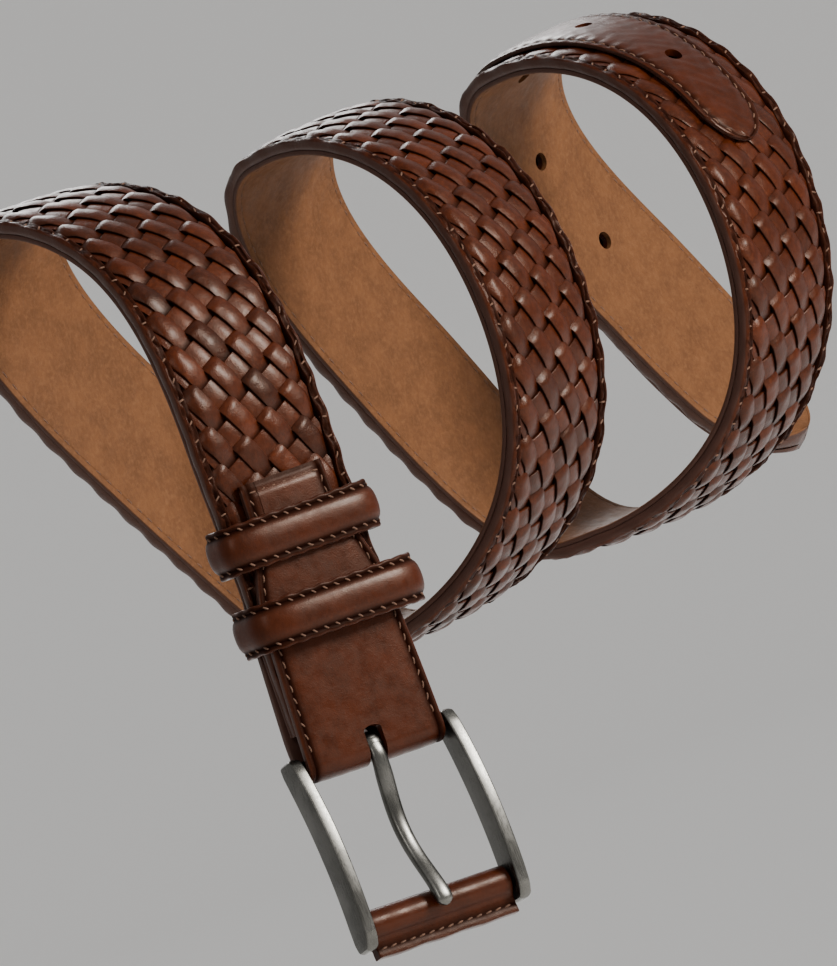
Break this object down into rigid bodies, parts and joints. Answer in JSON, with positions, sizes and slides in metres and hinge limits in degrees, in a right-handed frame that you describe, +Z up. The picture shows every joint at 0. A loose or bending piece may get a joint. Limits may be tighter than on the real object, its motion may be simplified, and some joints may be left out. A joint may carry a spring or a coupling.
{
  "type": "braided belt",
  "caption": "Brown braided leather belt held in a loose coil of three arches, with a two-bar metal buckle and leather keepers.",
  "frame": {"origin": "inner top of the middle turn of the coil, where it is held", "axes": "+X along the coil's axis from the buckle end to the free end, -Y the front of each turn, +Z up"},
  "size_m": [0.2849, 0.1006, 0.1771],
  "materials": {
    "woven_leather": "glossy",
    "smooth_leather": "glossy",
    "lining_leather": "matte",
    "brushed_metal": "brushed"
  },
  "bodies": {
    "strap": {"woven_strap": "woven_leather", "lining": "lining_leather", "buckle_tab": "smooth_leather", "keeper_upper": "smooth_leather", "keeper_lower": "smooth_leather", "end_tab": "smooth_leather"},
    "buckle": {"buckle_frame": "brushed_metal", "bar_wrap": "smooth_leather"},
    "prong": {"prong": "brushed_metal"}
  },
  "joints": [
    {"name": "buckle_pivot", "type": "hinge", "parent": "strap", "child": "buckle", "pos_m": [-0.11215, -0.05304, -0.12479], "axis": [-0.9391, 0.342, 0.0344], "range_deg": [-75, 22]},
    {"name": "prong_pivot", "type": "hinge", "parent": "buckle", "child": "prong", "pos_m": [-0.11215, -0.05304, -0.12479], "axis": [-0.9391, 0.342, 0.0344], "range_deg": [0, 72]}
  ]
}
